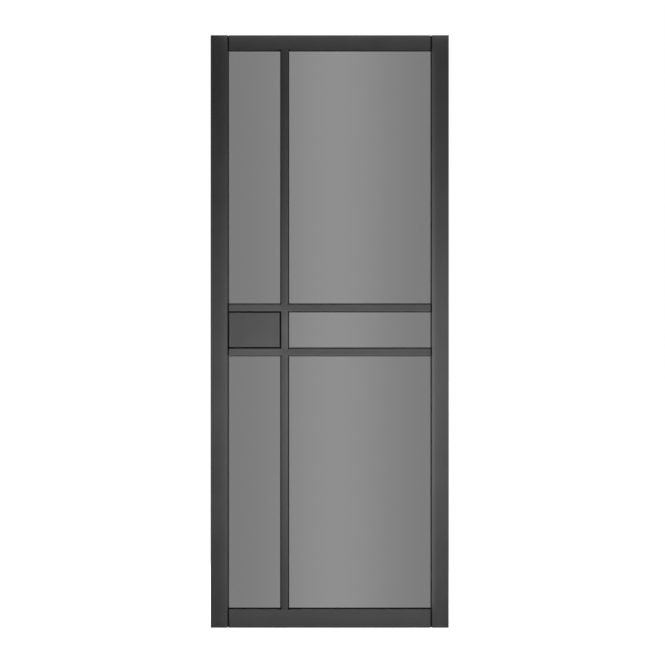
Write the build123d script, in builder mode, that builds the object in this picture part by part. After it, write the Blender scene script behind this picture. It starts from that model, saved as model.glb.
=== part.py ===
from build123d import *
import os
from dataclasses import dataclass

# Painted timber door leaf, glazed in five panes, with one solid panel for the latch.
# X runs across the leaf with the lock edge at -X, Y runs through it from the front face to the
# back face, and Z is up. The origin is at the middle of the bottom edge. Sizes are in millimetres.

# Leaf
leaf_width = 820
leaf_height = 2040
leaf_thickness = 40

# Face widths of the framing, seen from the front
stile_face = 58.5
top_rail_face = 49.5
bottom_rail_face = 63
bar_face = 24

# Centre lines of the bars
vertical_bar_from_lock_edge = 254.5
lower_bar_from_bottom = 949.5
upper_bar_from_bottom = 1101.5

# Behind its front flange a bar narrows to a web that parts the panes
bar_web = 10

# Glazing
glass_thickness = 4
glass_arris = 0.4
seal_wall = 2
seal_lip = 3.5
seal_lip_slope = 1.2

# Beads, set a little below the back face
bead_depth = 15
bead_setback = 1
bead_arris = 0.5

# Eased edges, and the shadow grooves where members meet
arris = 1
groove_width = 4.5
groove_depth = 12

# Play of the lock panel's tongue in its rebate
tongue_clearance = 0.5

# Dowels
rail_dowel_diameter = 10
rail_dowel_length = 80
rail_dowel_inset = 11
bar_dowel_diameter = 6
bar_dowel_length = 50
dowel_chamfer = 1
dowel_clearance = 0.1
dowel_relief = 1

# Depths through the leaf, from the front: flange, glass between its seals, beads
glazing_depth = glass_thickness + 2 * seal_wall
web_depth = glazing_depth + bead_depth + bead_setback
flange_depth = leaf_thickness - web_depth
front_face = -leaf_thickness / 2
back_face = leaf_thickness / 2
flange_back = front_face + flange_depth
bead_front = flange_back + glazing_depth

# Sightlines are the edges of the front flanges, and walls are the sides of the rebate behind them
rebate_width = (bar_face - bar_web) / 2
lock_edge = -leaf_width / 2
lock_sightline = lock_edge + stile_face
lock_wall = lock_sightline - rebate_width
bottom_wall = bottom_rail_face - rebate_width
top_sightline = leaf_height - top_rail_face
top_wall = top_sightline + rebate_width
wall_to_wall = -2 * lock_wall
vertical_bar_x = lock_edge + vertical_bar_from_lock_edge


@dataclass(frozen=True)
class Opening:
    """One opening of the leaf, by the sightlines round it as they are seen from the front."""

    name: str
    left: float
    right: float
    bottom: float
    top: float

    def plane(self, depth, first_axis=(1, 0, 0)):
        """The upright plane at this depth, centred on the opening and facing the back."""
        middle = ((self.left + self.right) / 2, depth, (self.bottom + self.top) / 2)
        return Plane(origin=middle, x_dir=first_axis, z_dir=(0, 1, 0))

    def size(self, margin=0):
        """Width and height of the opening, let out by a margin on every side."""
        return self.right - self.left + 2 * margin, self.top - self.bottom + 2 * margin


def across(height, x_dir):
    """Plane that a member running from wall to wall is drawn on, with its first axis up or down."""
    up = x_dir[2] > 0
    start = -lock_wall if up else lock_wall
    return Plane(origin=(start, 0, height), x_dir=x_dir, z_dir=(-1 if up else 1, 0, 0))


def rebated_profile(face):
    """Section of a stile or rail from its outer edge inwards, rebated along the back."""
    with BuildSketch() as profile:
        Rectangle(face, leaf_thickness, align=(Align.MIN, Align.CENTER))
        corners = profile.vertices().group_by(Axis.Y)
        chamfer(corners[0] + corners[-1].sort_by(Axis.X)[:1], arris)
        with Locations((face, back_face)):
            Rectangle(rebate_width, web_depth, align=(Align.MAX, Align.MAX), mode=Mode.SUBTRACT)
    return profile.sketch


def bar_profile():
    """T-shaped section of a glazing bar, centred on its web."""
    with BuildSketch() as profile:
        with Locations((0, front_face)):
            Rectangle(bar_face, flange_depth, align=(Align.CENTER, Align.MIN))
        chamfer(profile.vertices().group_by(Axis.Y)[0], arris)
        with Locations((0, back_face)):
            Rectangle(bar_web, web_depth, align=(Align.CENTER, Align.MAX))
    return profile.sketch


def shoulder_waste(grooved_back):
    """Plan of what is cut from both ends of a member that runs from stile to stile.

    The front is cut back to the edge of the stile's flange, so that the end is scribed into the
    rebate, and a shadow groove is sunk in front of the shoulder. A rail has one at the back too.
    """
    with BuildSketch() as plan:
        with Locations((lock_wall, front_face)):
            Rectangle(rebate_width, flange_depth, align=(Align.MIN, Align.MIN))
            Rectangle(rebate_width + groove_width, groove_depth, align=(Align.MIN, Align.MIN))
        if grooved_back:
            with Locations((lock_wall, back_face)):
                Rectangle(groove_width, groove_depth, align=(Align.MIN, Align.MAX))
        mirror(about=Plane.YZ)
    return plan.sketch


def crossing_waste():
    """Plan of the notch in a horizontal bar's web that the vertical bar's web runs through."""
    with BuildSketch() as plan:
        with Locations((vertical_bar_x, back_face)):
            Rectangle(bar_web, web_depth, align=(Align.CENTER, Align.MAX))
    return plan.sketch


def dowel_sections(joints, points, diameter):
    """Circles of this diameter on each of a member's joint planes, centred on its dowels."""
    with BuildSketch(*joints) as circles:
        with Locations(*points):
            Circle(diameter / 2)
    return circles.sketch


def dowel_bores(joints, points, diameter):
    """The same circles, let out for the glue."""
    return dowel_sections(joints, points, diameter + 2 * dowel_clearance)


# Joint planes, and the dowel centres on them: by depth and height at a stile, by X and depth at
# a rail
stile_joints = (Plane.YZ.offset(lock_wall), Plane.YZ.offset(-lock_wall))
rail_joints = (Plane.XY.offset(bottom_wall), Plane.XY.offset(top_wall))
rail_dowel_y = (front_face + back_face) / 2
bar_dowel_y = (flange_back + back_face) / 2
top_rail_points = [
    (rail_dowel_y, top_wall + rail_dowel_inset),
    (rail_dowel_y, leaf_height - rail_dowel_inset),
]
bottom_rail_points = [
    (rail_dowel_y, rail_dowel_inset),
    (rail_dowel_y, bottom_wall - rail_dowel_inset),
]
upper_bar_points = [(bar_dowel_y, upper_bar_from_bottom)]
lower_bar_points = [(bar_dowel_y, lower_bar_from_bottom)]
vertical_bar_points = [(vertical_bar_x, bar_dowel_y)]

rail_bores = dowel_bores(stile_joints, top_rail_points + bottom_rail_points, rail_dowel_diameter)
bar_bores = dowel_bores(stile_joints, upper_bar_points + lower_bar_points, bar_dowel_diameter)
vertical_bar_bores = dowel_bores(rail_joints, vertical_bar_points, bar_dowel_diameter)
rail_bore_depth = rail_dowel_length / 2 + dowel_relief
bar_bore_depth = bar_dowel_length / 2 + dowel_relief


def rail(start, face):
    """A rail between the stiles: long-shouldered behind the glass, short-shouldered in front."""
    with BuildPart() as member:
        with BuildSketch(start):
            add(rebated_profile(face))
        extrude(amount=wall_to_wall)
        extrude(shoulder_waste(grooved_back=True), amount=leaf_height, mode=Mode.SUBTRACT)
        extrude(rail_bores, amount=rail_bore_depth, both=True, mode=Mode.SUBTRACT)
        extrude(vertical_bar_bores, amount=bar_bore_depth, both=True, mode=Mode.SUBTRACT)
    return member


def horizontal_bar(centre):
    """A bar between the stiles, whose flange runs through the crossing and whose web doesn't."""
    with BuildPart() as member:
        with BuildSketch(across(centre, (0, 0, 1))):
            add(bar_profile())
        extrude(amount=wall_to_wall)
        extrude(shoulder_waste(grooved_back=False), amount=leaf_height, mode=Mode.SUBTRACT)
        extrude(crossing_waste(), amount=leaf_height, mode=Mode.SUBTRACT)
        extrude(bar_bores, amount=bar_bore_depth, both=True, mode=Mode.SUBTRACT)
    return member


# Stiles, the full height of the leaf
with BuildPart() as lock_stile:
    with BuildSketch(Plane.XY.move(Location((lock_edge, 0, 0)))):
        add(rebated_profile(stile_face))
    extrude(amount=leaf_height)
    extrude(rail_bores, amount=rail_bore_depth, both=True, mode=Mode.SUBTRACT)
    extrude(bar_bores, amount=bar_bore_depth, both=True, mode=Mode.SUBTRACT)

with BuildPart() as hinge_stile:
    mirror(lock_stile.part, about=Plane.YZ)

top_rail = rail(across(leaf_height, (0, 0, -1)), top_rail_face)
bottom_rail = rail(across(0, (0, 0, 1)), bottom_rail_face)
upper_bar = horizontal_bar(upper_bar_from_bottom)
lower_bar = horizontal_bar(lower_bar_from_bottom)

# Vertical bar: its web runs from rail to rail, and its flange is scribed to the members it meets
with BuildPart() as vertical_bar:
    with BuildSketch(Plane.XY.move(Location((vertical_bar_x, 0, bottom_wall)))):
        add(bar_profile())
    extrude(amount=top_wall - bottom_wall)
    for member in (top_rail, bottom_rail, upper_bar, lower_bar):
        add(member.part, mode=Mode.SUBTRACT)
    extrude(vertical_bar_bores, amount=bar_bore_depth, both=True, mode=Mode.SUBTRACT)

os.makedirs("parts", exist_ok=True)

framing = {
    "lock_stile": lock_stile,
    "hinge_stile": hinge_stile,
    "top_rail": top_rail,
    "bottom_rail": bottom_rail,
    "upper_bar": upper_bar,
    "lower_bar": lower_bar,
    "vertical_bar": vertical_bar,
}
for name, member in framing.items():
    member.part.label = name
    export_step(member.part, f"parts/{name}.step")

# Dowels of each member, in both of its end joints
for name, joints, points, diameter, length in (
    ("top_rail_dowels", stile_joints, top_rail_points, rail_dowel_diameter, rail_dowel_length),
    ("bottom_rail_dowels", stile_joints, bottom_rail_points, rail_dowel_diameter, rail_dowel_length),
    ("upper_bar_dowels", stile_joints, upper_bar_points, bar_dowel_diameter, bar_dowel_length),
    ("lower_bar_dowels", stile_joints, lower_bar_points, bar_dowel_diameter, bar_dowel_length),
    ("vertical_bar_dowels", rail_joints, vertical_bar_points, bar_dowel_diameter, bar_dowel_length),
):
    starts = [joint.offset(-length / 2) for joint in joints]
    with BuildPart() as dowels:
        extrude(dowel_sections(starts, points, diameter), amount=length)
        chamfer(dowels.edges().filter_by(GeomType.CIRCLE), dowel_chamfer)
    dowels.part.label = name
    export_step(dowels.part, f"parts/{name}.step")

# Openings between the members' sightlines
columns = {
    "left": (lock_sightline, vertical_bar_x - bar_face / 2),
    "right": (vertical_bar_x + bar_face / 2, -lock_sightline),
}
rows = {
    "lower": (bottom_rail_face, lower_bar_from_bottom - bar_face / 2),
    "middle": (lower_bar_from_bottom + bar_face / 2, upper_bar_from_bottom - bar_face / 2),
    "upper": (upper_bar_from_bottom + bar_face / 2, top_sightline),
}
openings = [
    Opening(f"{row}_{column}", *columns[column], *rows[row])
    for row in ("upper", "middle", "lower")
    for column in ("left", "right")
]
lock_opening = openings[2]

# Lock panel: flush with both faces, parted from the flanges and beads by the shadow groove, and
# held by a tongue in the rebate that the panes have their edges in elsewhere
with BuildPart() as lock_panel:
    with BuildSketch(lock_opening.plane(front_face)):
        Rectangle(*lock_opening.size(-groove_width))
    extrude(amount=leaf_thickness)
    chamfer(lock_panel.faces().filter_by(Axis.Y).edges(), arris)
    with BuildSketch(lock_opening.plane(flange_back)):
        Rectangle(*lock_opening.size(rebate_width - tongue_clearance))
    extrude(amount=glazing_depth)

lock_panel.part.label = "lock_panel"
export_step(lock_panel.part, "parts/lock_panel.step")

# Panes, each in a channel-shaped rubber seal that lines the rebate
for opening in openings:
    if opening is lock_opening:
        continue
    with BuildPart() as pane:
        with BuildSketch(opening.plane(flange_back + seal_wall)):
            Rectangle(*opening.size(rebate_width - seal_wall))
        extrude(amount=glass_thickness)
        chamfer(pane.faces().filter_by(Axis.Y).edges(), glass_arris)
    pane.part.label = f"pane_{opening.name}"
    export_step(pane.part, f"parts/pane_{opening.name}.step")

    with BuildPart() as seal:
        with BuildSketch(opening.plane(flange_back)):
            Rectangle(*opening.size(rebate_width))
            Rectangle(*opening.size(-seal_lip), mode=Mode.SUBTRACT)
        extrude(amount=glazing_depth)
        lips = [face.inner_wires()[0] for face in seal.faces().filter_by(Axis.Y)]
        chamfer([edge for lip in lips for edge in lip.edges()], seal_lip_slope)
        with BuildSketch(opening.plane(flange_back + seal_wall)):
            Rectangle(*opening.size(rebate_width - seal_wall))
        extrude(amount=glass_thickness, mode=Mode.SUBTRACT)
    seal.part.label = f"seal_{opening.name}"
    export_step(seal.part, f"parts/seal_{opening.name}.step")

# Beads that close the rebate from the back, four to an opening, mitred at the corners
outwards = {"top": (0, 0, 1), "right": (1, 0, 0), "bottom": (0, 0, -1), "left": (-1, 0, 0)}
for opening in openings:
    width, height = opening.size()
    for side, direction in outwards.items():
        upright = side in ("right", "left")
        inner, half_length = (width / 2, height / 2) if upright else (height / 2, width / 2)
        with BuildPart() as bead:
            with BuildSketch(opening.plane(bead_front, direction)):
                with BuildLine():
                    Polyline(
                        (inner, -half_length),
                        (inner, half_length),
                        (inner + rebate_width, half_length + rebate_width),
                        (inner + rebate_width, -half_length - rebate_width),
                        close=True,
                    )
                make_face()
            extrude(amount=bead_depth)
            back_edges = bead.faces().sort_by(Axis.Y)[-1].edges()
            chamfer(back_edges.filter_by(Axis.Z if upright else Axis.X), bead_arris)
        bead.part.label = f"bead_{opening.name}_{side}"
        export_step(bead.part, f"parts/bead_{opening.name}_{side}.step")
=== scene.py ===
"""Glazed door leaf: its finishes, its bead pins and the studio it stands in.

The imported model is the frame. Every object is in metres in its coordinates: X runs across the leaf
from the lock edge to the hinge edge, Y from the front to the back, and Z up from the floor.
"""

import logging
import math
from dataclasses import dataclass, replace
from enum import Enum
from typing import Any, Sequence

import bpy
import numpy as np
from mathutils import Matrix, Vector


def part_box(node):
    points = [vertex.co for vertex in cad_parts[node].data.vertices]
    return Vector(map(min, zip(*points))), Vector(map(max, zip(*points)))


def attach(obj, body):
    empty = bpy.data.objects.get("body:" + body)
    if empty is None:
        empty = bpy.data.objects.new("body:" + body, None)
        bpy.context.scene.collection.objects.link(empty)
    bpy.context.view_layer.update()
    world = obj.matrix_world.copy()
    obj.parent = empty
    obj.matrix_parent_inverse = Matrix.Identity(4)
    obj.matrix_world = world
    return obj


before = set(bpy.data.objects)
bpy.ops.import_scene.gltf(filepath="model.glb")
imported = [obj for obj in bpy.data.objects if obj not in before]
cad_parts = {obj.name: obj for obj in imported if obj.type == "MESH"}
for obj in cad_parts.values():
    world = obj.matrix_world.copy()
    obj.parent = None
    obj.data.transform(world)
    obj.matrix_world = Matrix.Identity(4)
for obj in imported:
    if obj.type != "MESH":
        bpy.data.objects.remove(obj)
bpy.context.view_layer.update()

log = logging.getLogger("door_leaf")

MM = 0.001
BODY = "root"
WHITE = "#FFFFFF"

# Where nearly all the values of a noise lie, as inputs of a Map Range node
NOISE_MIDDLE = {"From Min": 0.3, "From Max": 0.7}

# Half the length, in millimetres, of a strip that runs past both ends of any member
ENDLESS = 10000.0

# A bell curve is the exponential of this times a squared distance
BELL_FACTOR = -0.5


def linear(hex_colour: str) -> tuple[float, float, float, float]:
    """Turn an sRGB hex colour to the linear values that shaders work in.

    Its numbers are those of the sRGB standard: values up to 0.04045 are divided by 12.92, and
    the others are raised by 0.055, divided by 1.055 and taken to the power of 2.4.

    Args:
        hex_colour: Six hex digits after a hash sign.

    Returns:
        Red, green, blue and an alpha of 1.
    """
    srgb = np.array([int(hex_colour[i : i + 2], 16) for i in (1, 3, 5)]) / 255
    low = srgb / 12.92
    high = ((srgb + 0.055) / 1.055) ** 2.4
    red, green, blue = np.where(srgb <= 0.04045, low, high)
    return float(red), float(green), float(blue), 1.0


def add_node(
    tree: bpy.types.NodeTree,
    kind: str,
    inputs: dict[Any, Any] | None = None,
    **settings: Any,
) -> bpy.types.Node:
    """Add one node with its settings, and set or link its inputs.

    Args:
        tree: The node tree that gets the node.
        kind: The node's type, without its ShaderNode prefix.
        inputs: By the input's name or number, its value, the output socket that feeds it, or
            the node whose first output in use feeds it.
        **settings: Attributes of the node itself.

    Returns:
        The new node.
    """
    node = tree.nodes.new("ShaderNode" + kind)
    for name, value in settings.items():
        setattr(node, name, value)
    for name, value in (inputs or {}).items():
        if isinstance(value, bpy.types.Node):
            value = next(output for output in value.outputs if output.enabled)
        if isinstance(value, bpy.types.NodeSocket):
            tree.links.new(value, node.inputs[name])
        else:
            node.inputs[name].default_value = value
    return node


class Grain(Enum):
    """Which way the fibres of a timber run, as a pattern's scale along X, Y and Z."""

    UPRIGHT = (1.0, 1.0, 0.03)
    LEVEL = (0.03, 1.0, 1.0)
    NONE = (1.0, 1.0, 1.0)


@dataclass(frozen=True)
class Strip:
    """A strip of a surface along which a finish differs, such as the painted highlights on the paint
    and the painted light on the rubber.

    It differs fully within the half width of the centre. From there it dies away over the reach,
    as one less the share of the reach, raised to the power. A strip that stops short of the ends
    has a middle and a half length along Z. Sizes are in millimetres, from the middle of the leaf
    along X and up from the floor along Z.
    """

    axis: str
    centre: float
    reach: float
    strength: float
    half_width: float = 0.0
    power: float = 1.0
    middle: float = 0.0
    half_length: float = ENDLESS

    def share(self, tree: bpy.types.NodeTree) -> bpy.types.Node:
        """Work out how much the finish differs at each point.

        Args:
            tree: The material's node tree.

        Returns:
            A node that gives the strength at the centre, falling to 0.
        """
        across = self.fall(tree, self.axis, self.centre, self.half_width)
        lengthways = self.fall(tree, "Z", self.middle, self.half_length)
        curved = add_node(tree, "Math", {0: across, 1: self.power}, operation="POWER")
        strip = add_node(tree, "Math", {0: curved, 1: lengthways}, operation="MULTIPLY")
        return add_node(tree, "Math", {0: strip, 1: self.strength}, operation="MULTIPLY")

    def fall(
        self, tree: bpy.types.NodeTree, axis: str, centre: float, full: float
    ) -> bpy.types.Node:
        """Work out a value that is 1 near a centre and falls to 0 over the reach, in a line.

        Args:
            tree: The material's node tree.
            axis: The axis along which it falls.
            centre: The centre on that axis.
            full: How far from the centre it stays 1.

        Returns:
            A node that gives the value.
        """
        place = add_node(tree, "TexCoord").outputs["Object"]
        along = add_node(tree, "SeparateXYZ", {0: place}).outputs[axis]
        offset = add_node(tree, "Math", {0: along, 1: centre * MM}, operation="SUBTRACT")
        limits = {
            "Value": add_node(tree, "Math", {0: offset}, operation="ABSOLUTE"),
            "From Min": full * MM,
            "From Max": (full + self.reach) * MM,
            "To Min": 1.0,
            "To Max": 0.0,
        }
        return add_node(tree, "MapRange", limits)


@dataclass(frozen=True)
class Finish:
    """What every finish has: the name of its material, and the slot in the record it stands for,
    which this script does not use.
    """

    name: str
    slot: str

    def start(self, suffix: str = "") -> tuple[bpy.types.Material, bpy.types.NodeTree]:
        """Make an empty node material.

        Args:
            suffix: Added to the finish's name.

        Returns:
            The material and its node tree, with no nodes in it.
        """
        material = bpy.data.materials.new(self.name + suffix)
        material.use_nodes = True
        material.node_tree.nodes.clear()
        return material, material.node_tree

    def pattern(
        self, tree: bpy.types.NodeTree, grain: Grain, spacing: float, **noise: float
    ) -> bpy.types.NodeSocket:
        """Add a noise on Object coordinates.

        Args:
            tree: The material's node tree.
            grain: Which way the noise is drawn out.
            spacing: How far apart its marks are, in millimetres.
            **noise: Detail and Roughness of the noise.

        Returns:
            The noise's value, from 0 to 1.
        """
        place = add_node(tree, "TexCoord").outputs["Object"]
        drawn = add_node(tree, "Mapping", {"Vector": place, "Scale": grain.value})
        inputs = {"Vector": drawn, "Scale": 1 / (spacing * MM), **noise}
        return add_node(tree, "TexNoise", inputs).outputs["Fac"]

    def two_shades(
        self, tree: bpy.types.NodeTree, pattern: bpy.types.NodeSocket, first: str, second: str
    ) -> bpy.types.Node:
        """Mix two shades by a noise.

        Args:
            tree: The material's node tree.
            pattern: The noise's value.
            first: The shade where it is low, in hex.
            second: The shade where it is high, in hex.

        Returns:
            The node that gives the colour.
        """
        share = add_node(tree, "MapRange", {"Value": pattern, **NOISE_MIDDLE})
        shades = {0: share, "A": linear(first), "B": linear(second)}
        return add_node(tree, "Mix", shades, data_type="RGBA")

    def finish(self, tree: bpy.types.NodeTree, shader: dict[Any, Any]) -> None:
        """Close the tree with a Principled shader and the output.

        Args:
            tree: The material's node tree.
            shader: Inputs of the shader, as values, sockets or nodes.
        """
        principled = add_node(tree, "BsdfPrincipled", shader)
        add_node(tree, "OutputMaterial", {"Surface": principled})


@dataclass(frozen=True)
class SatinPaint(Finish):
    """Black satin lacquer, sprayed over sanded primer on engineered timber.

    The eye gets an even charcoal black with a wide soft sheen, and painted highlights a shade
    lighter along some edges. Close up it has the faint orange peel of a spray coat, and the fibres
    of the wood telegraph through it along each member. The grooves and rebates get painted shade,
    dead matt and nearly black where their sky is shut.
    """

    colour: str = "#414141"
    worn: str = "#464646"
    # Painted highlight: the lighter coat mixed in along the highlight strips
    painted_highlight_colour: str = "#6A6A6A"
    # Painted shade: the near black mixed in deep in grooves and rebates
    groove: str = "#080808"
    roughness: tuple[float, float] = (0.46, 0.54)
    groove_roughness: float = 0.95
    # Painted shade in the grooves: how near another surface has to be to shut a point's sky, and
    # the open share of the sky at which the shade is full, and at which it is gone
    groove_reach: float = 12.0
    groove_shade: tuple[float, float] = (0.65, 1.0)
    groove_samples: int = 8
    ior: float = 1.5
    # Fibres are about 0.4 mm apart, and are drawn 1.6 mm apart to show
    fibre_spacing: float = 1.6
    fibre_relief: float = 0.02
    fibre_detail: float = 3.0
    fibre_roughness: float = 0.6
    fibre_strength: float = 0.7
    # Orange peel has dimples about 2.5 mm across
    peel_spacing: float = 2.5
    peel_relief: float = 0.03
    peel_detail: float = 1.0
    peel_strength: float = 0.6
    # The coat's shade and gloss drift over about a hand's breadth
    drift_spacing: float = 90.0
    drift_detail: float = 2.0

    def material(
        self, grain: Grain, member: str = "", painted_highlights: Sequence[Strip] = ()
    ) -> bpy.types.Material:
        """Build the paint for members whose fibres run one way.

        Args:
            grain: Which way they run.
            member: The member's name, where the paint is for one alone.
            painted_highlights: Where its coat gets painted highlights.

        Returns:
            The material.
        """
        material, tree = self.start("_" + (member or grain.name.lower()))
        drift = self.pattern(tree, Grain.NONE, self.drift_spacing, Detail=self.drift_detail)
        sky_openness = self.sky_openness(tree)
        smooth, dull = self.roughness
        gloss = {"Value": drift, **NOISE_MIDDLE, "To Min": smooth, "To Max": dull}
        sheen = {
            0: sky_openness,
            "A": self.groove_roughness,
            "B": add_node(tree, "MapRange", gloss),
        }
        self.finish(
            tree,
            {
                "Base Color": self.coat(tree, drift, sky_openness, painted_highlights),
                "Roughness": add_node(tree, "Mix", sheen, data_type="FLOAT"),
                "IOR": self.ior,
                "Normal": self.relief(tree, grain),
            },
        )
        return material

    def sky_openness(self, tree: bpy.types.NodeTree) -> bpy.types.Node:
        """Work out how open each point's sky is, which sets where the painted groove shade falls.

        Args:
            tree: The material's node tree.

        Returns:
            A node that gives 0 deep in a groove and 1 on an open face.
        """
        reach = {"Distance": self.groove_reach * MM}
        sky = add_node(tree, "AmbientOcclusion", reach, samples=self.groove_samples)
        shut, clear = self.groove_shade
        limits = {"Value": sky.outputs["AO"], "From Min": shut, "From Max": clear}
        return add_node(tree, "MapRange", limits)

    def coat(
        self,
        tree: bpy.types.NodeTree,
        drift: bpy.types.NodeSocket,
        sky_openness: bpy.types.Node,
        painted_highlights: Sequence[Strip],
    ) -> bpy.types.Node:
        """Mix the coat's colour, with its painted highlights and its painted groove shade.

        Args:
            tree: The material's node tree.
            drift: The noise that its two shades follow.
            sky_openness: How open each point's sky is. The painted highlights fade where it is shut.
            painted_highlights: Where it gets painted highlights.

        Returns:
            The node that gives the colour.
        """
        colour = self.two_shades(tree, drift, self.colour, self.worn)
        # Painted highlights, mixed in along each strip and faded where the sky is shut
        for one_highlight in painted_highlights:
            share = add_node(tree, "Math", {0: one_highlight.share(tree), 1: sky_openness}, operation="MULTIPLY")
            shades = {0: share, "A": colour, "B": linear(self.painted_highlight_colour)}
            colour = add_node(tree, "Mix", shades, data_type="RGBA")
        # Painted shade, mixed in where the sky is shut in grooves and rebates
        depths = {0: sky_openness, "A": linear(self.groove), "B": colour}
        return add_node(tree, "Mix", depths, data_type="RGBA")

    def relief(self, tree: bpy.types.NodeTree, grain: Grain) -> bpy.types.Node:
        """Raise the orange peel, and the fibres over it where the member has any.

        Args:
            tree: The material's node tree.
            grain: Which way the fibres run.

        Returns:
            The node that gives the normal.
        """
        peel = {
            "Height": self.pattern(tree, Grain.NONE, self.peel_spacing, Detail=self.peel_detail),
            "Distance": self.peel_relief * MM,
            "Strength": self.peel_strength,
        }
        bump = add_node(tree, "Bump", peel)
        if grain is Grain.NONE:
            return bump
        noise = {"Detail": self.fibre_detail, "Roughness": self.fibre_roughness}
        fibres = {
            "Height": self.pattern(tree, grain, self.fibre_spacing, **noise),
            "Distance": self.fibre_relief * MM,
            "Strength": self.fibre_strength,
            "Normal": bump,
        }
        return add_node(tree, "Bump", fibres)


@dataclass(frozen=True)
class TintedGlass(Finish):
    """Toughened float glass, tinted grey in the melt.

    The eye gets a clear neutral grey that is flat and polished, with one clean reflection, and
    the very slight waviness that toughening leaves.
    """

    tint: str = "#7D7D7D"
    roughness: float = 0.0
    transmission: float = 1.0
    ior: float = 1.52
    # The rollers of the toughening oven leave waves about this far apart
    wave_spacing: float = 160.0
    wave_relief: float = 0.01
    wave_detail: float = 0.0

    def material(self) -> bpy.types.Material:
        """Build the glass.

        Returns:
            The material.
        """
        material, tree = self.start()
        wave = self.pattern(tree, Grain.NONE, self.wave_spacing, Detail=self.wave_detail)
        bump = add_node(tree, "Bump", {"Height": wave, "Distance": self.wave_relief * MM})
        self.finish(
            tree,
            {
                "Base Color": linear(self.tint),
                "Roughness": self.roughness,
                "IOR": self.ior,
                "Transmission Weight": self.transmission,
                "Normal": bump,
            },
        )
        return material


@dataclass(frozen=True)
class ExtrudedRubber(Finish):
    """Black EPDM rubber, extruded as a glazing channel.

    The eye gets a dull near black with a soft sheen and the fine mottle of the cured skin, and
    painted light at the heads of some panes, where it is mixed to a charcoal grey.
    """

    colour: str = "#080808"
    chalky: str = "#0F0F0F"
    # Painted light: the charcoal grey at the heads of panes
    head_painted_light: str = "#3A3A3A"
    roughness: tuple[float, float] = (0.5, 0.62)
    ior: float = 1.52
    # The cured skin is mottled in patches about 3 mm across
    mottle_spacing: float = 3.0
    mottle_relief: float = 0.02
    mottle_detail: float = 4.0
    mottle_strength: float = 0.5

    def material(self, heads: Sequence[Strip] = ()) -> bpy.types.Material:
        """Build the rubber.

        Args:
            heads: Strips at the heads of panes that get painted light.

        Returns:
            The material.
        """
        material, tree = self.start()
        mottle = self.pattern(tree, Grain.NONE, self.mottle_spacing, Detail=self.mottle_detail)
        colour = self.two_shades(tree, mottle, self.colour, self.chalky)
        # Painted light on the rubber at the heads of panes
        for head in heads:
            shades = {0: head.share(tree), "A": colour, "B": linear(self.head_painted_light)}
            colour = add_node(tree, "Mix", shades, data_type="RGBA")
        skin = {
            "Height": mottle,
            "Distance": self.mottle_relief * MM,
            "Strength": self.mottle_strength,
        }
        smooth, dull = self.roughness
        gloss = {"Value": mottle, **NOISE_MIDDLE, "To Min": smooth, "To Max": dull}
        self.finish(
            tree,
            {
                "Base Color": colour,
                "Roughness": add_node(tree, "MapRange", gloss),
                "IOR": self.ior,
                "Normal": add_node(tree, "Bump", skin),
            },
        )
        return material


@dataclass(frozen=True)
class TurnedBeech(Finish):
    """Bare beech dowel, turned and fluted for glue.

    The eye gets a warm pale brown with short darker flecks along the fibres.
    """

    colour: str = "#D2AE82"
    fleck: str = "#A97E52"
    roughness: tuple[float, float] = (0.55, 0.7)
    ior: float = 1.5
    # The flecks of beech are a little over 1 mm apart
    fleck_spacing: float = 1.2
    fleck_relief: float = 0.05
    fleck_detail: float = 5.0
    fleck_roughness: float = 0.65
    fleck_strength: float = 0.6

    def material(self, grain: Grain) -> bpy.types.Material:
        """Build the beech for dowels that lie one way.

        Args:
            grain: Which way their fibres run.

        Returns:
            The material.
        """
        material, tree = self.start("_" + grain.name.lower())
        noise = {"Detail": self.fleck_detail, "Roughness": self.fleck_roughness}
        fibres = self.pattern(tree, grain, self.fleck_spacing, **noise)
        grooves = {
            "Height": fibres,
            "Distance": self.fleck_relief * MM,
            "Strength": self.fleck_strength,
        }
        smooth, dull = self.roughness
        gloss = {"Value": fibres, **NOISE_MIDDLE, "To Min": smooth, "To Max": dull}
        self.finish(
            tree,
            {
                "Base Color": self.two_shades(tree, fibres, self.colour, self.fleck),
                "Roughness": add_node(tree, "MapRange", gloss),
                "IOR": self.ior,
                "Normal": add_node(tree, "Bump", grooves),
            },
        )
        return material


def surface_mesh(
    name: str, vertices: np.ndarray, blocks: Sequence[np.ndarray], smooth: bool = True
) -> bpy.types.Object:
    """Put whole arrays of vertices and faces into a new object at the origin.

    Args:
        name: The object's name.
        vertices: Points, one row each, in metres.
        blocks: Arrays of vertex numbers, one face to a row, anticlockwise seen from outside.
            All the faces of one array have as many corners.
        smooth: Whether the faces are shaded smooth.

    Returns:
        The object, linked to the scene.
    """
    mesh = bpy.data.meshes.new(name)
    faces = [face for block in blocks for face in block.tolist()]
    mesh.from_pydata(vertices.tolist(), [], faces)
    mesh.polygons.foreach_set("use_smooth", np.full(len(mesh.polygons), smooth))
    mesh.validate()
    piece = bpy.data.objects.new(name, mesh)
    bpy.context.scene.collection.objects.link(piece)
    return piece


def dress(nodes: Sequence[str], material: bpy.types.Material) -> None:
    """Give CAD nodes a material in place of the one they came with.

    Args:
        nodes: The nodes' names.
        material: The new material.
    """
    for node in nodes:
        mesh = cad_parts[node].data
        mesh.materials.clear()
        mesh.materials.append(material)
        log.info("%s: %s", node, material.name)


@dataclass(frozen=True)
class Member:
    """One painted member: its node, how its fibres run, its coat's two shades and its painted
    highlights.

    Each member's coat is set a shade lighter or darker, as painted light and shade for how the
    light falls on it, and the panel's coat is the lightest.
    """

    node: str
    grain: Grain
    coat: tuple[str, str] = ("#414141", "#464646")
    painted_highlights: tuple[Strip, ...] = ()


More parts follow.
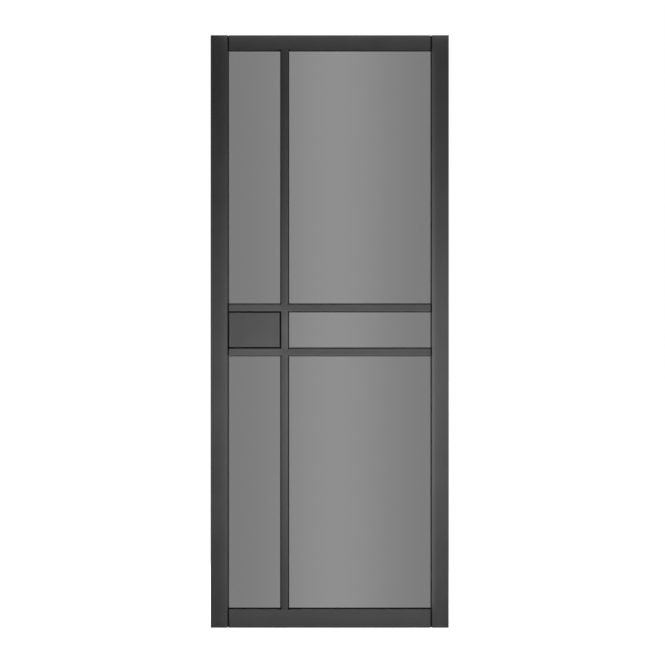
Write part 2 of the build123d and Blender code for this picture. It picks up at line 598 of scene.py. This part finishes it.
@dataclass
class Framing:
    """The painted members: stiles, rails, glazing bars and the lock panel.

    Painted highlights lighten the coat along the inner edges of the stiles and the bottom rail,
    along one arris of each bar, across the middle of the vertical bar, and on the bars beside the
    lock panel.
    """

    paint: SatinPaint
    # Each coat is a lighter or darker copy of the one paint, as painted light and shade, and the
    # strips are painted highlights
    members: tuple[Member, ...] = (
        Member(
            "lock_stile",
            Grain.UPRIGHT,
            coat=("#3E3E3E", "#434343"),
            painted_highlights=(Strip("X", centre=-351.5, reach=31, strength=0.25, power=1.2),),
        ),
        Member(
            "hinge_stile",
            Grain.UPRIGHT,
            painted_highlights=(
                Strip(
                    "X",
                    centre=351.5,
                    half_width=1,
                    reach=31,
                    strength=0.55,
                    power=3,
                    middle=1028,
                    half_length=940,
                ),
            ),
        ),
        Member(
            "vertical_bar",
            Grain.UPRIGHT,
            coat=("#3B3B3B", "#404040"),
            painted_highlights=(
                Strip("X", centre=-143.5, reach=24, strength=0.22, power=1.4),
                Strip("Z", centre=1025.5, half_width=10, reach=80, strength=0.24),
            ),
        ),
        Member("top_rail", Grain.LEVEL, coat=("#434343", "#484848")),
        Member("bottom_rail", Grain.LEVEL, painted_highlights=(Strip("Z", centre=63, reach=110, strength=0.2),)),
        Member(
            "upper_bar",
            Grain.LEVEL,
            painted_highlights=(
                Strip("Z", centre=1089.5, half_width=1, reach=5, strength=0.4, power=2),
                Strip("X", centre=-263, half_width=85, reach=15, strength=0.17),
            ),
        ),
        Member(
            "lower_bar",
            Grain.LEVEL,
            coat=("#3F3F3F", "#444444"),
            painted_highlights=(
                Strip("Z", centre=937.5, half_width=1, reach=5, strength=0.4, power=2),
                Strip("X", centre=-263, half_width=85, reach=15, strength=0.2),
            ),
        ),
        Member("lock_panel", Grain.NONE, coat=("#484848", "#4D4D4D")),
    )

    def build(self) -> None:
        """Paint every member, with the grain along it where it is timber."""
        for member in self.members:
            colour, worn = member.coat
            paint = replace(self.paint, colour=colour, worn=worn)
            dress((member.node,), paint.material(member.grain, member.node, member.painted_highlights))


@dataclass
class Glazing:
    """The five panes and the rubber channels that their edges sit in.

    The rubber at the heads of the upper and the lower panes gets painted light, a charcoal grey.
    """

    glass: TintedGlass
    rubber: ExtrudedRubber
    openings: tuple[str, ...] = (
        "upper_left", "upper_right", "middle_right", "lower_left", "lower_right",
    )
    # Painted light on the rubber at the heads of the upper and the lower panes
    heads: tuple[Strip, ...] = (
        Strip("Z", centre=1988.5, half_width=2, reach=2, strength=1.0),
        Strip("Z", centre=935.5, half_width=2, reach=2, strength=0.7),
    )

    def build(self) -> None:
        """Dress the panes in glass and the channels in rubber."""
        rubber = self.rubber.material(self.heads)
        dress([f"pane_{opening}" for opening in self.openings], self.glass.material())
        dress([f"seal_{opening}" for opening in self.openings], rubber)


@dataclass
class Beading:
    """The mitred beads on the back, and the panel pins that hold them.

    Each pin is punched below the surface, filled and painted over, which leaves a low round
    crown. Sizes are in millimetres.
    """

    paint: SatinPaint
    openings: tuple[str, ...] = (
        "upper_left", "upper_right", "middle_left", "middle_right", "lower_left", "lower_right",
    )
    crown_radius: float = 2.2
    crown_height: float = 0.3
    rim_sink: float = 0.08
    buried: float = 0.3
    pin_spacing: float = 150.0
    end_distance: float = 32.0
    fewest_pins: int = 2
    rings: int = 4
    sectors: int = 12

    def build(self) -> None:
        """Paint the beads along their length, and add the pins of each opening as one piece."""
        upright = self.paint.material(Grain.UPRIGHT)
        level = self.paint.material(Grain.LEVEL)
        plain = self.paint.material(Grain.NONE)
        for opening in self.openings:
            dress([f"bead_{opening}_{side}" for side in ("left", "right")], upright)
            dress([f"bead_{opening}_{side}" for side in ("top", "bottom")], level)
            points = np.concatenate(
                [
                    self.pin_points(f"bead_{opening}_{side}")
                    for side in ("top", "right", "bottom", "left")
                ]
            )
            pins = surface_mesh(f"pins_{opening}", *self.crowns(points))
            pins.data.materials.append(plain)
            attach(pins, BODY)
            log.info("%s: %d pins", pins.name, len(points))

    def pin_points(self, bead: str) -> np.ndarray:
        """Space pins evenly along the middle of a bead's back face.

        Args:
            bead: The bead's node.

        Returns:
            Points in metres, one row each, equally spaced from one end distance to the other.
        """
        low, high = (np.array(corner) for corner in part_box(bead))
        along = 2 if high[2] - low[2] > high[0] - low[0] else 0
        first = low[along] + self.end_distance * MM
        last = high[along] - self.end_distance * MM
        count = max(self.fewest_pins, round((last - first) / (self.pin_spacing * MM)) + 1)
        points = np.tile((low + high) / 2, (count, 1))
        points[:, 1] = high[1]
        points[:, along] = np.linspace(first, last, count)
        return points

    def crowns(self, points: np.ndarray) -> tuple[np.ndarray, list[np.ndarray]]:
        """Work out a closed low crown at every point.

        A crown is a surface of revolution about Y. Its radius goes in even steps from the first
        ring out to the rim and back. Its height is the crown's height times the square of one
        less the squared share of the radius, less how far the rim is sunk into the bead, so that
        the crown dies away into its face. The returning half is buried deeper, and a flat cap
        closes the ring at each end.

        Args:
            points: Centres on the beads' back faces, in metres.

        Returns:
            Vertices of all the crowns, and an array of their quads and one of their caps.
        """
        share = np.linspace(0, 1, self.rings + 1)[1:]
        radius = np.concatenate([share, share[::-1]]) * self.crown_radius * MM
        outer = self.crown_height * (1 - share**2) ** 2 - self.rim_sink
        height = np.concatenate([outer, np.full(self.rings, -self.buried)]) * MM
        angle = np.linspace(0, 2 * np.pi, self.sectors, endpoint=False)
        ring = np.stack(
            [
                radius[:, None] * np.cos(angle),
                np.repeat(height[:, None], self.sectors, axis=1),
                radius[:, None] * np.sin(angle),
            ],
            axis=-1,
        ).reshape(-1, 3)
        vertices = (points[:, None, :] + ring[None]).reshape(-1, 3)
        row, column = np.meshgrid(
            np.arange(len(radius) - 1), np.arange(self.sectors), indexing="ij"
        )
        after = (column + 1) % self.sectors
        quads = np.stack(
            [
                row * self.sectors + column,
                row * self.sectors + after,
                (row + 1) * self.sectors + after,
                (row + 1) * self.sectors + column,
            ],
            axis=-1,
        ).reshape(-1, 4)
        around = np.arange(self.sectors)
        caps = np.stack([around[::-1], len(ring) - self.sectors + around])
        starts = np.arange(len(points))[:, None, None] * len(ring)
        blocks = [(starts + block[None]).reshape(-1, block.shape[1]) for block in (quads, caps)]
        return vertices, blocks


@dataclass
class Joinery:
    """The dowels inside the end joints."""

    beech: TurnedBeech
    level: tuple[str, ...] = (
        "top_rail_dowels", "bottom_rail_dowels", "upper_bar_dowels", "lower_bar_dowels",
    )
    upright: tuple[str, ...] = ("vertical_bar_dowels",)

    def build(self) -> None:
        """Dress the dowels in beech with the fibres along them."""
        dress(self.level, self.beech.material(Grain.LEVEL))
        dress(self.upright, self.beech.material(Grain.UPRIGHT))


@dataclass(frozen=True)
class SoftBox:
    """A soft box: where it stands, what it points at, its power in watts, width and height."""

    name: str
    place: tuple[float, float, float]
    target: tuple[float, float, float]
    watts: float
    width: float = 0.6
    height: float = 0.6

    def build(self) -> None:
        """Hang the lamp, out of sight of the camera, the glass and the sheen of the paint."""
        data = bpy.data.lights.new(self.name, "AREA")
        data.shape = "RECTANGLE"
        data.size = self.width
        data.size_y = self.height
        data.energy = self.watts
        lamp = bpy.data.objects.new(self.name, data)
        lamp.location = self.place
        direction = Vector(self.target) - Vector(self.place)
        lamp.rotation_euler = direction.to_track_quat("-Z", "Y").to_euler()
        lamp.visible_camera = False
        lamp.visible_glossy = False
        lamp.visible_transmission = False
        bpy.context.scene.collection.objects.link(lamp)


@dataclass
class Studio:
    """White floor and background, soft boxes on every side and overhead, and the camera."""

    boxes: tuple[SoftBox, ...] = (
        SoftBox("soft_box_front_middle", (0.0, -0.8, 0.8), (0, 0, 0.8), 5.3),
        SoftBox("soft_box_front_right", (0.9, -1.6, 0.9), (0, 0, 0.9), 17.9),
        SoftBox(
            "tube_front_top", (0.07, -0.04, 2.06), (0.07, 0, 1.9), 0.18, width=0.9, height=0.03
        ),
        SoftBox("soft_box_back_middle", (0.0, 0.8, 0.8), (0, 0, 0.8), 5.3),
        SoftBox("soft_box_back_right", (-0.9, 1.6, 0.9), (0, 0, 0.9), 17.9),
        SoftBox("strip_box_above", (0.0, 0.0, 3.0), (0, 0, 0), 6.0, width=1.2, height=0.1),
        SoftBox("soft_box_lock_side", (-2.2, 0.0, 1.0), (0, 0, 1.0), 9, width=0.4, height=1.8),
        SoftBox("soft_box_hinge_side", (2.2, 0.0, 1.0), (0, 0, 1.0), 9, width=0.4, height=1.8),
    )
    ambient: float = 0.04
    # Reflections: the room's dim middle, the strip of light in it, and where it turns white to
    # the sides, by bearing, which is the sideways part of a direction over its part through the
    # leaf. The least depth keeps that part from 0
    dim: float = 0.05
    strip_level: float = 1.8
    strip_centre: float = 0.002
    strip_spread: float = 0.0241
    sides: tuple[float, float] = (0.7, 3.0)
    least_depth: float = 0.001
    camera_place: tuple[float, float, float] = (0.0096, -6.02, 1.0166)
    camera_tilt: float = 90.0
    lens: float = 94.36
    sensor: float = 36.0
    floor_size: float = 60.0
    floor_colour: str = "#E6E6E6"
    # The floor's own glow at the foot, in front of the leaf and behind it, which turns from one
    # to the other under the leaf. It rises to white between two distances sideways and two along
    # Y, so that the shadow keeps behind the leaf
    foot_glow: tuple[float, float] = (0.8, 0.45)
    glow_turn: float = 0.02
    shadow_half_width: tuple[float, float] = (0.26, 0.42)
    shadow_depth: tuple[float, float] = (0.03, 0.6)

    def build(self) -> None:
        """Light the world, hang the lamps, lay the floor and set the camera up."""
        self.world()
        for box in self.boxes:
            box.build()
        self.floor()
        self.camera()
        bpy.context.scene.view_settings.view_transform = "Standard"

    def world(self) -> None:
        """Surround the leaf with white, as the eye and the glass see it, and dim ambient light."""
        world = bpy.data.worlds.new("studio")
        bpy.context.scene.world = world
        world.use_nodes = True
        tree = world.node_tree
        tree.nodes.clear()
        path = add_node(tree, "LightPath").outputs
        sights = {0: path["Is Camera Ray"], 1: path["Is Transmission Ray"]}
        seen = add_node(tree, "Math", sights, operation="MAXIMUM")
        rooms = {0: path["Is Glossy Ray"], "A": self.ambient, "B": self.reflected_room(tree)}
        unseen = add_node(tree, "Mix", rooms, data_type="FLOAT")
        level = add_node(tree, "Mix", {0: seen, "A": unseen, "B": 1.0}, data_type="FLOAT")
        light = add_node(tree, "Background", {"Color": linear(WHITE), "Strength": level})
        add_node(tree, "OutputWorld", {"Surface": light})

    def reflected_room(self, tree: bpy.types.NodeTree) -> bpy.types.Node:
        """Work out the room that reflections see: white to the sides, dim in front and behind.

        The walls rise from dim to white by a smooth step of the bearing. In the dim middle stands
        a strip of light from floor to ceiling. Its level falls off as a bell curve: as the
        exponential of minus half the square of the bearing's distance from its centre over its
        spread.

        Args:
            tree: The world's node tree.

        Returns:
            The node that gives the level.
        """
        direction = add_node(tree, "TexCoord").outputs["Generated"]
        parts = add_node(tree, "SeparateXYZ", {0: direction}).outputs
        depth = add_node(tree, "Math", {0: parts["Y"]}, operation="ABSOLUTE")
        divisor = add_node(tree, "Math", {0: depth, 1: self.least_depth}, operation="MAXIMUM")
        bearing = add_node(tree, "Math", {0: parts["X"], 1: divisor}, operation="DIVIDE")
        beside = add_node(tree, "Math", {0: bearing, 1: self.strip_centre}, operation="SUBTRACT")
        offset = add_node(tree, "Math", {0: beside, 1: self.strip_spread}, operation="DIVIDE")
        square = add_node(tree, "Math", {0: offset, 1: offset}, operation="MULTIPLY")
        exponent = add_node(tree, "Math", {0: square, 1: BELL_FACTOR}, operation="MULTIPLY")
        bell = add_node(tree, "Math", {0: exponent}, operation="EXPONENT")
        strip = add_node(tree, "Math", {0: bell, 1: self.strip_level}, operation="MULTIPLY")
        near, far = self.sides
        turn = {
            "Value": add_node(tree, "Math", {0: bearing}, operation="ABSOLUTE"),
            "From Min": near,
            "From Max": far,
            "To Min": self.dim,
            "To Max": 1.0,
        }
        walls = add_node(tree, "MapRange", turn, interpolation_type="SMOOTHSTEP")
        return add_node(tree, "Math", {0: strip, 1: walls}, operation="ADD")

    def floor(self) -> None:
        """Lay a wide white floor that keeps the leaf's soft shadow."""
        half = self.floor_size / 2
        corners = np.array([(-half, -half, 0), (half, -half, 0), (half, half, 0), (-half, half, 0)])
        floor = surface_mesh("floor", corners, [np.array([(0, 1, 2, 3)])], smooth=False)
        material = bpy.data.materials.new("white_floor")
        material.use_nodes = True
        tree = material.node_tree
        tree.nodes.clear()
        matt = add_node(tree, "BsdfDiffuse", {"Color": linear(self.floor_colour)})
        own = {"Color": linear(WHITE), "Strength": self.floor_glow(tree)}
        lit = add_node(tree, "AddShader", {0: matt, 1: add_node(tree, "Emission", own)})
        white = add_node(tree, "Emission", {"Color": linear(WHITE), "Strength": 1.0})
        path = add_node(tree, "LightPath").outputs
        sights = {0: path["Is Glossy Ray"], 1: path["Is Transmission Ray"]}
        through = add_node(tree, "Math", sights, operation="MAXIMUM")
        direct = add_node(tree, "MixShader", {0: path["Is Camera Ray"], 1: matt, 2: lit})
        shown = add_node(tree, "MixShader", {0: through, 1: direct, 2: white})
        add_node(tree, "OutputMaterial", {"Surface": shown})
        floor.data.materials.append(material)
        floor.visible_glossy = False
        # The floor lies under everything, so it shades nothing. It is kept out of the openness that
        # sets where the paint's painted groove shade falls
        floor.visible_shadow = False

    def floor_glow(self, tree: bpy.types.NodeTree) -> bpy.types.Node:
        """Work out the floor's own glow, white all round and less at the leaf's foot.

        It rises from the foot's level to white by the greater of two smooth steps, one of the
        distance from the leaf's middle sideways and one of the distance along Y.

        Args:
            tree: The floor's node tree.

        Returns:
            The node that gives the level.
        """
        place = add_node(tree, "TexCoord").outputs["Object"]
        axes = add_node(tree, "SeparateXYZ", {0: place}).outputs
        front_glow, back_glow = self.foot_glow
        turn = {
            "Value": axes["Y"],
            "From Min": -self.glow_turn,
            "From Max": self.glow_turn,
            "To Min": front_glow,
            "To Max": back_glow,
        }
        foot = add_node(tree, "MapRange", turn)
        fades = []
        for axis, (near, far) in (("X", self.shadow_half_width), ("Y", self.shadow_depth)):
            distance = add_node(tree, "Math", {0: axes[axis]}, operation="ABSOLUTE")
            limits = {"Value": distance, "From Min": near, "From Max": far}
            fades.append(add_node(tree, "MapRange", limits, interpolation_type="SMOOTHSTEP"))
        away = add_node(tree, "Math", dict(enumerate(fades)), operation="MAXIMUM")
        return add_node(tree, "Mix", {0: away, "A": foot, "B": 1.0}, data_type="FLOAT")

    def camera(self) -> None:
        """Stand the camera level, straight in front of the leaf."""
        data = bpy.data.cameras.new("camera")
        data.sensor_width = self.sensor
        data.lens = self.lens
        camera = bpy.data.objects.new("camera", data)
        camera.location = self.camera_place
        camera.rotation_euler = (math.radians(self.camera_tilt), 0, 0)
        bpy.context.scene.collection.objects.link(camera)
        bpy.context.scene.camera = camera


def main() -> None:
    logging.basicConfig(level=logging.INFO, format="%(name)s: %(message)s")
    paint = SatinPaint("satin_black_paint", "painted_timber")
    glass = TintedGlass("grey_float_glass", "tinted_glass")
    rubber = ExtrudedRubber("epdm_rubber", "black_rubber")
    Framing(paint).build()
    Glazing(glass, rubber).build()
    Beading(paint).build()
    Joinery(TurnedBeech("turned_beech", "beech")).build()
    Studio().build()


if __name__ == "__main__":
    main()
